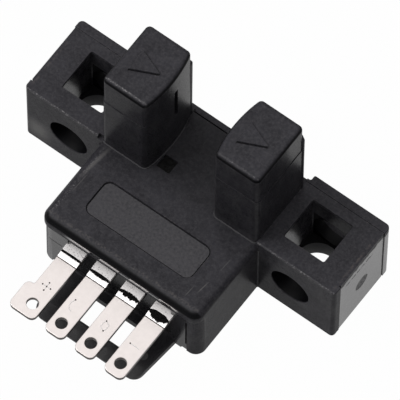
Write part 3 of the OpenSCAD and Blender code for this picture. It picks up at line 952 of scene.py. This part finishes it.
def build_housing():
    body = join(body_solid(), *both(tower_solid()))
    for base_x, tip_x in TRIANGLE_ENDS:
        cut(body, turned(triangle_mark(base_x, tip_x), Matrix.Translation((0, -0.09, 0.11))))
        join(body, triangle_mark(base_x, tip_x))
    cut(body, block((-CAVITY_SIDE, WALL_BACK, -OVERCUT), (CAVITY_SIDE, COVER_FACE + 1, ROOF_UNDER)))
    cut(body, block((-CAVITY_SIDE, LIP_FRONT - 1, -OVERCUT), (CAVITY_SIDE, WALL_BACK + 0.1, LIP_BOTTOM)))
    for cutter in paired_cutters():
        cut(body, *both(cutter))
    chip_low = (-6.84, WING_FRONT - 0.2, 6.42)
    cut(body, block(chip_low, (-6.36, WING_FRONT + 0.28, WING_TOP + 1)))
    corners = [tuple(place + side * INDICATOR_HALF for place in INDICATOR) for side in (-1, 1)]
    cut(body, flared_cutter(rectangle(*corners, 0.06, 2), ROOF_UNDER, BODY_TOP, 0, 0.03))
    label = rectangle(LABEL_LOW, LABEL_HIGH, 0.6, 6)
    moat = [(0.03, BODY_TOP - 0.25), (0.0, BODY_TOP - 0.02), (-0.02, BODY_TOP + 1)]
    cut(body, loft("label", levels(label, moat)))
    join(body, soft_solid(inset(label, 0.08), BODY_TOP - 0.4, BODY_TOP - 0.1, 0, 0.03, 2))
    seam_low = (-BODY_SIDE, CHEEK_FRONT - 0.1, SEAM_LOW)
    cut(body, block(seam_low, (-CAVITY_SIDE + 0.1, CHEEK_FRONT + SEAM_DEPTH, SEAM_HIGH)))
    return dress(body, "housing_shell", CASE, "housing")


# Rear cover


def build_cover():
    """Plate over the back, thinner between the wings, with a tongue up each tower."""
    half = [
        (WING_END, COVER_FACE, 0),
        (WING_END, WING_BACK, 0.35),
        (BODY_SIDE, WING_BACK, 0.12),
        (BODY_SIDE, WEB_BACK, 0.12),
    ]
    corners = half + [(-x, y, radius) for x, y, radius in reversed(half)]
    plate = sloped_end(soft_solid(filleted(corners, 6), 0, WING_TOP, 0.1, 0.07))
    cut(plate, block((-WING_ROOT, COVER_FACE - 1, BODY_TOP), (WING_ROOT, WING_BACK + 1, WING_TOP + 1)))
    tongue_outline = filleted([
        (TONGUE_INNER, TONGUE_FACE, 0.1),
        (TONGUE_OUTER, TONGUE_FACE, 0.1),
        (TONGUE_OUTER, TONGUE_FACE + 0.24, 0.1),
        (TONGUE_OUTER - 0.35, TONGUE_BACK, 0.1),
        (TONGUE_INNER, TONGUE_BACK, 0.15),
    ], 4)
    tongue = soft_solid(tongue_outline, WING_TOP, TONGUE_TOP, 0, 0.09)
    ledge_outline = rectangle((-WEB_HALF + FIT, WEB_FRONT), (WEB_HALF - FIT, COVER_FACE + 0.1))
    ledge = soft_solid(ledge_outline, WEB_LOW, BODY_TOP, 0, 0.04, 2)
    root_low = (TONGUE_INNER + FIT, TONGUE_FACE + 0.05, ROOF_UNDER)
    root = block(root_low, (WING_ROOT - FIT, (COVER_FACE + WEB_BACK) / 2, BODY_TOP))
    neck = block(root_low, (WING_ROOT - FIT, TONGUE_BACK - 0.05, WING_TOP + 0.2))
    join(plate, ledge, *both(tongue), *both(root), *both(neck))
    cut(plate, *both(level_bore()))
    return dress(plate, "rear_cover_plate", COVER, "rear_cover")


# Base with the guide loop


def build_base():
    half = CAVITY_SIDE - FIT
    wall = soft_solid(rectangle((-half, WALL_FRONT), (half, WALL_BACK)), 0, LIP_BOTTOM - FIT, 0.05, 0.05, 2)
    floor = soft_solid(rectangle((-half, WALL_FRONT), (half, COVER_FACE - FIT)), 0, FLOOR_TOP, 0.05, 0, 2)
    shoulder_low = (CAVITY_SIDE - FIT - SHOULDER, CHEEK_FRONT)
    shoulder_outline = rectangle(shoulder_low, (CAVITY_SIDE - 0.002, WALL_BACK))
    shoulder = soft_solid(shoulder_outline, 0, LIP_BOTTOM - FIT, 0.05, 0, 2)
    rail = block((half - 0.6, WALL_FRONT + 0.3, 0.1), (half, 2.4, TERMINAL_LEVEL))
    loop_corners = [
        (-LOOP_ROOT, WALL_FRONT + 0.4, 0),
        (-LOOP_HALF, LOOP_FRONT, LOOP_CORNER),
        (LOOP_HALF, LOOP_FRONT, LOOP_CORNER),
        (LOOP_ROOT, WALL_FRONT + 0.4, 0),
    ]
    loop = soft_solid(filleted(loop_corners, 8), 0, LOOP_TOP, 0.1, 0.12)
    window = rectangle((-WINDOW_HALF, LOOP_FRONT + 1.3), (WINDOW_HALF, WALL_FRONT - 0.87), 0.1, 3)
    cut(loop, flared_cutter(window, 0, LOOP_TOP, 0.05, 0.06))
    ramp_start = LOOP_FRONT + 1.15
    ramp_end = LOOP_FRONT - 1
    ramp = [(ramp_start, LOOP_TOP), (ramp_start, 2), (ramp_end, 2), (ramp_end, -0.05)]
    ramp_rings = [[(x, y, z) for y, z in ramp] for x in (-8, 8)]
    cut(loop, loft("ramp", ramp_rings))
    cut(loop, soft_solid(circle(EJECTOR, EJECTOR_RADIUS), LOOP_TOP - EJECTOR_DEPTH, LOOP_TOP + 1))
    join(wall, floor, *both(rail), *both(shoulder), loop)
    for x in TERMINAL_X:
        slot_low = (x - TERMINAL_HALF, WALL_FRONT - 1, TERMINAL_BOTTOM)
        cut(wall, block(slot_low, (x + TERMINAL_HALF, -8.0, TERMINAL_LEVEL)))
    cut(wall, block((half - 0.1, WALL_FRONT - 1, 1.1), (half + 1, WALL_FRONT + 0.4, 4.4)))
    seam_low = (-half - 1, CHEEK_FRONT - 0.1, SEAM_LOW)
    cut(wall, block(seam_low, (-4.8, CHEEK_FRONT + SEAM_DEPTH, SEAM_HIGH)))
    cut(wall, *both(block((half - 0.45, WALL_FRONT - 1, -1), (half + 1, WALL_FRONT + 0.4, 0.3))))
    return dress(wall, "base_moulding", BASE, "base")


# Terminals


def strip_outline(ear):
    """A terminal seen from above, its middle at x 0."""
    half = TERMINAL_HALF
    corners = [(half, TERMINAL_TIP, 0.45), (half, TERMINAL_END, 0), (-half, TERMINAL_END, 0)]
    if ear:
        corners += [(-half, TERMINAL_TIP + 2.25, 0.15), (-half - ear, TERMINAL_TIP + 2.25, 0.4)]
    corners.append((-half - ear, TERMINAL_TIP, 0.45))
    return filleted(corners, 6)


def pressed_sign(place):
    """Sign of each terminal: chains of points joined by fine raised lines, and punched dots."""
    across = [(-0.33, 0), (0.33, 0)]
    upwards = [(0, -0.33), (0, 0.33)]
    hook = [(-0.27, 0.37), (-0.4, 0.06), (-0.38, -0.22), (-0.24, -0.42), (-0.02, -0.49)]
    hexagon = [(-0.12, 0.36), (0.2, 0.2), (0.22, -0.15), (0.12, -0.36), (-0.2, -0.2), (-0.22, 0.15)]
    bar = [(-0.36, 0), (0.38, 0)]
    signs = (
        ([across, upwards], [*across, *upwards, (0, 0)]),
        ([hook], hook[:1]),
        ([hexagon + hexagon[:1]], [hexagon[0], hexagon[3]]),
        ([bar], bar[:1]),
    )
    return signs[place]


def sign_line(start, end):
    """Fine raised line on a terminal between two points of its sign."""
    start, end = Vector(start), Vector(end)
    along = end - start
    bar = rectangle((0.0, -0.03), (along.length, 0.03))
    places = [(0.0, -0.05), (0.0, 0.0), (0.02, 0.02)]
    ridge = loft("ridge", levels(bar, [(d, TERMINAL_LEVEL + h) for d, h in places]))
    turn = Matrix.Rotation(math.atan2(along.y, along.x), 4, "Z")
    return turned(ridge, Matrix.Translation((start.x, SIGN_Y + start.y, 0)) @ turn)


def cross_groove(back, width, depth):
    """Cutter for a groove across a terminal's top face."""
    floor = width / 4
    profile = [(back - width, 0.0), (back - width + floor, -depth), (back - floor, -depth), (back, 0.0)]
    rings = []
    for side in (-2, 2):
        low = [(side, y, TERMINAL_LEVEL + z) for y, z in profile]
        rings.append(low + [(side, back, 5), (side, back - width, 5)])
    return loft("groove", rings)


def raised_root():
    """Root of a terminal: raised, then sloping down to the flat part in front of its groove."""
    profile = [(GROOVE_BACK - 0.58, -0.05), (WALL_FRONT - 0.01, -0.05), (WALL_FRONT - 0.01, 0.24),
               (GROOVE_BACK, 0.15), (GROOVE_BACK - 0.17, 0.12), (GROOVE_BACK - 0.58, 0.0)]
    side = TERMINAL_HALF - 0.01
    return loft("root", [[(x, y, TERMINAL_LEVEL + z) for y, z in profile] for x in (-side, side)])


def build_terminal(place, name, ear):
    x = TERMINAL_X[place]
    strip = soft_solid(strip_outline(ear), TERMINAL_BOTTOM, TERMINAL_LEVEL, 0.06, 0.05, 3)
    hole = circle((0, TERMINAL_HOLE_Y), TERMINAL_HOLE_RADIUS, 40)
    cut(strip, flared_cutter(hole, TERMINAL_BOTTOM, TERMINAL_LEVEL, 0.04, 0.05))
    join(strip, raised_root())
    cut(strip, cross_groove(GROOVE_BACK, 0.17, 0.06), cross_groove(GROOVE_BACK - 0.55, 0.08, 0.06))
    chains, dots = pressed_sign(place)
    for chain in chains:
        for one, two in zip(chain, chain[1:]):
            join(strip, sign_line(one, two))
    for sx, sy in dots:
        cut(strip, soft_solid(circle((sx, SIGN_Y + sy), 0.06, 12), TERMINAL_LEVEL - 0.11, 5))
    turned(strip, Matrix.Translation((x, 0, 0)))
    return dress(strip, name + "_strip", TIN, name)


def build_residue(place, name, back_bulge, front_bulge, ragged):
    """Film of black resin left in a terminal's groove, with a ragged front edge."""
    x = TERMINAL_X[place]
    half = TERMINAL_HALF - 0.04
    steps = 36
    front, back = [], []
    for k in range(steps + 1):
        t = 2 * k / steps - 1
        belly = 1 - t * t
        wave = 0.5 * math.sin(9.7 * t + place) + 0.3 * math.sin(23.0 * t + 2 * place)
        wave += 0.2 * math.sin(41.0 * t)
        edge = GROOVE_BACK - 0.17 - front_bulge * belly + ragged * wave
        front.append((x + half * t, min(edge, GROOVE_BACK - 0.12)))
        back.append((x + half * t, GROOVE_BACK - 0.01 + back_bulge * belly + 0.3 * ragged * wave))
    outline = front + back[::-1]
    film = soft_solid(outline, TERMINAL_LEVEL - 0.03, TERMINAL_LEVEL + 0.17)
    return dress(film, name, RESIN)


# Resin left in each terminal's groove: how far it bulges back and forward, and how ragged it is
RESIDUES = {
    "plus": (0.02, 0.0, 0.0),
    "select": (0.05, 0.07, 0.02),
    "out": (0.12, 0.12, 0.1),
    "minus": (0.2, 0.32, 0.08),
}
build_housing()
build_cover()
build_base()
for order, terminal in enumerate(RESIDUES):
    build_terminal(order, "terminal_" + terminal, TERMINAL_EAR if order == 0 else 0.0)
for order, (terminal, film_size) in enumerate(RESIDUES.items()):
    build_residue(order, "resin_film_" + terminal, *film_size)

# Solids that stay as they are get better finishes
FINISHES = {
    "seal_resin": RESIN,
    "circuit_board": BOARD,
    "ir_emitter": CLEAR_EPOXY,
    "emitter_leads": TIN,
    "photo_detector": DARK_EPOXY,
    "detector_leads": TIN,
    "emitter_window": FILTER,
    "detector_window": FILTER,
    "indicator_led": CLEAR_EPOXY,
    "indicator_lens": LENS,
    "amplifier_chip": CHIP,
    "output_transistor": CHIP,
    "protection_diode": CHIP,
    "emitter_resistor": CHIP,
    "indicator_resistor": CHIP,
    "bypass_capacitor": CERAMIC,
}
for node_name, finish_material in FINISHES.items():
    node_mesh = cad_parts[node_name].data
    node_mesh.materials.clear()
    node_mesh.materials.append(finish_material)


# Stage, light and camera

AZIMUTH = math.radians(35.97)
ELEVATION = math.radians(64.52)
ROLL = math.radians(0.68)
CAMERA_DISTANCE = 700.0
PIXELS_PER_MM = 14.725
IMAGE_SIZE = 400
VIEW_SHIFT = (0.45, 0.02)
SENSOR = 36.0
LIGHT_COLOUR = (1.0, 0.985, 0.975)


def show_white(tree, output, lit, white, shares):
    """Mixes plain white into a lit surface, as large a share as each kind of ray is given."""
    path = add_node(tree, "LightPath")
    total = None
    for key, share in shares.items():
        scale = add_node(tree, "Math", operation="MULTIPLY")
        scale.inputs[1].default_value = share
        tree.links.new(path.outputs[key], scale.inputs[0])
        if total:
            larger = add_node(tree, "Math", operation="MAXIMUM")
            tree.links.new(total, larger.inputs[0])
            tree.links.new(scale.outputs["Value"], larger.inputs[1])
            total = larger.outputs["Value"]
        else:
            total = scale.outputs["Value"]
    mix = add_node(tree, "MixShader")
    tree.links.new(total, mix.inputs["Fac"])
    tree.links.new(lit.outputs[0], mix.inputs[1])
    tree.links.new(white.outputs[0], mix.inputs[2])
    tree.links.new(mix.outputs[0], output.inputs["Surface"])


def build_floor():
    """Pale floor, white to the camera, just below the part so that their faces don't meet."""
    bpy.ops.mesh.primitive_plane_add(size=6, location=(0, 0, -0.02 * MM))
    floor = bpy.context.object
    floor.name = "floor"
    material = bpy.data.materials.new("floor")
    material.use_nodes = True
    tree = material.node_tree
    tree.nodes.clear()
    output = add_node(tree, "OutputMaterial")
    diffuse = add_node(tree, "BsdfDiffuse")
    diffuse.inputs["Color"].default_value = (0.45, 0.45, 0.45, 1)
    glow = add_node(tree, "Emission")
    glow.inputs["Color"].default_value = (1, 1, 1, 1)
    shares = {"Is Camera Ray": 0.985, "Is Glossy Ray": 0.45, "Is Transmission Ray": 0.95}
    show_white(tree, output, diffuse, glow, shares)
    floor.data.materials.append(material)


def build_world():
    """Soft light from high above, dim elsewhere; white to the camera and in part to reflections."""
    world = bpy.data.worlds.new("studio")
    bpy.context.scene.world = world
    world.use_nodes = True
    tree = world.node_tree
    tree.nodes.clear()
    output = add_node(tree, "OutputWorld")
    direction = add_node(tree, "TexCoord")
    near = add_node(tree, "VectorMath", operation="DOT_PRODUCT")
    near.inputs[1].default_value = (-0.1, -0.05, 0.99)
    level = add_node(tree, "MapRange", interpolation_type="SMOOTHSTEP")
    for key, value in (("From Min", 0.4), ("From Max", 0.9), ("To Min", 0.06), ("To Max", 1.0)):
        level.inputs[key].default_value = value
    light = add_node(tree, "Background")
    light.inputs["Color"].default_value = (*LIGHT_COLOUR, 1)
    white = add_node(tree, "Background")
    white.inputs["Color"].default_value = (1, 1, 1, 1)
    tree.links.new(direction.outputs["Generated"], near.inputs[0])
    tree.links.new(near.outputs["Value"], level.inputs["Value"])
    tree.links.new(level.outputs["Result"], light.inputs["Strength"])
    shares = {"Is Camera Ray": 1.0, "Is Glossy Ray": 0.1, "Is Transmission Ray": 0.95}
    show_white(tree, output, light, white, shares)


def build_lamp():
    """Square soft lamp above the front left, in metres and watts."""
    lamp = bpy.data.lights.new("left", "AREA")
    lamp.shape = "SQUARE"
    lamp.size = 0.3
    lamp.energy = 1.35
    lamp.color = LIGHT_COLOUR
    piece = new_object("left", lamp)
    towards = Vector((-0.5, -0.34, 0.8)).normalized()
    piece.location = towards * 0.6
    piece.rotation_euler = towards.to_track_quat("Z", "Y").to_euler()


def build_camera():
    level = Vector((math.cos(AZIMUTH), math.sin(AZIMUTH), 0))
    away = Vector((math.sin(AZIMUTH), -math.cos(AZIMUTH), 0))
    back = away * math.cos(ELEVATION) + Vector((0, 0, math.sin(ELEVATION)))
    upright = back.cross(level)
    right = level * math.cos(ROLL) + upright * math.sin(ROLL)
    up = back.cross(right)
    place = back * CAMERA_DISTANCE - right * VIEW_SHIFT[0] - up * VIEW_SHIFT[1]
    data = bpy.data.cameras.new("camera")
    data.sensor_width = SENSOR
    data.lens = SENSOR * CAMERA_DISTANCE * PIXELS_PER_MM / IMAGE_SIZE
    data.clip_start = 0.01
    data.clip_end = 20
    camera = new_object("camera", data)
    turn = Matrix((right, up, back)).transposed()
    camera.matrix_world = Matrix.Translation(place * MM) @ turn.to_4x4()
    bpy.context.scene.camera = camera


build_floor()
build_world()
build_lamp()
build_camera()
bpy.context.scene.view_settings.view_transform = "Standard"
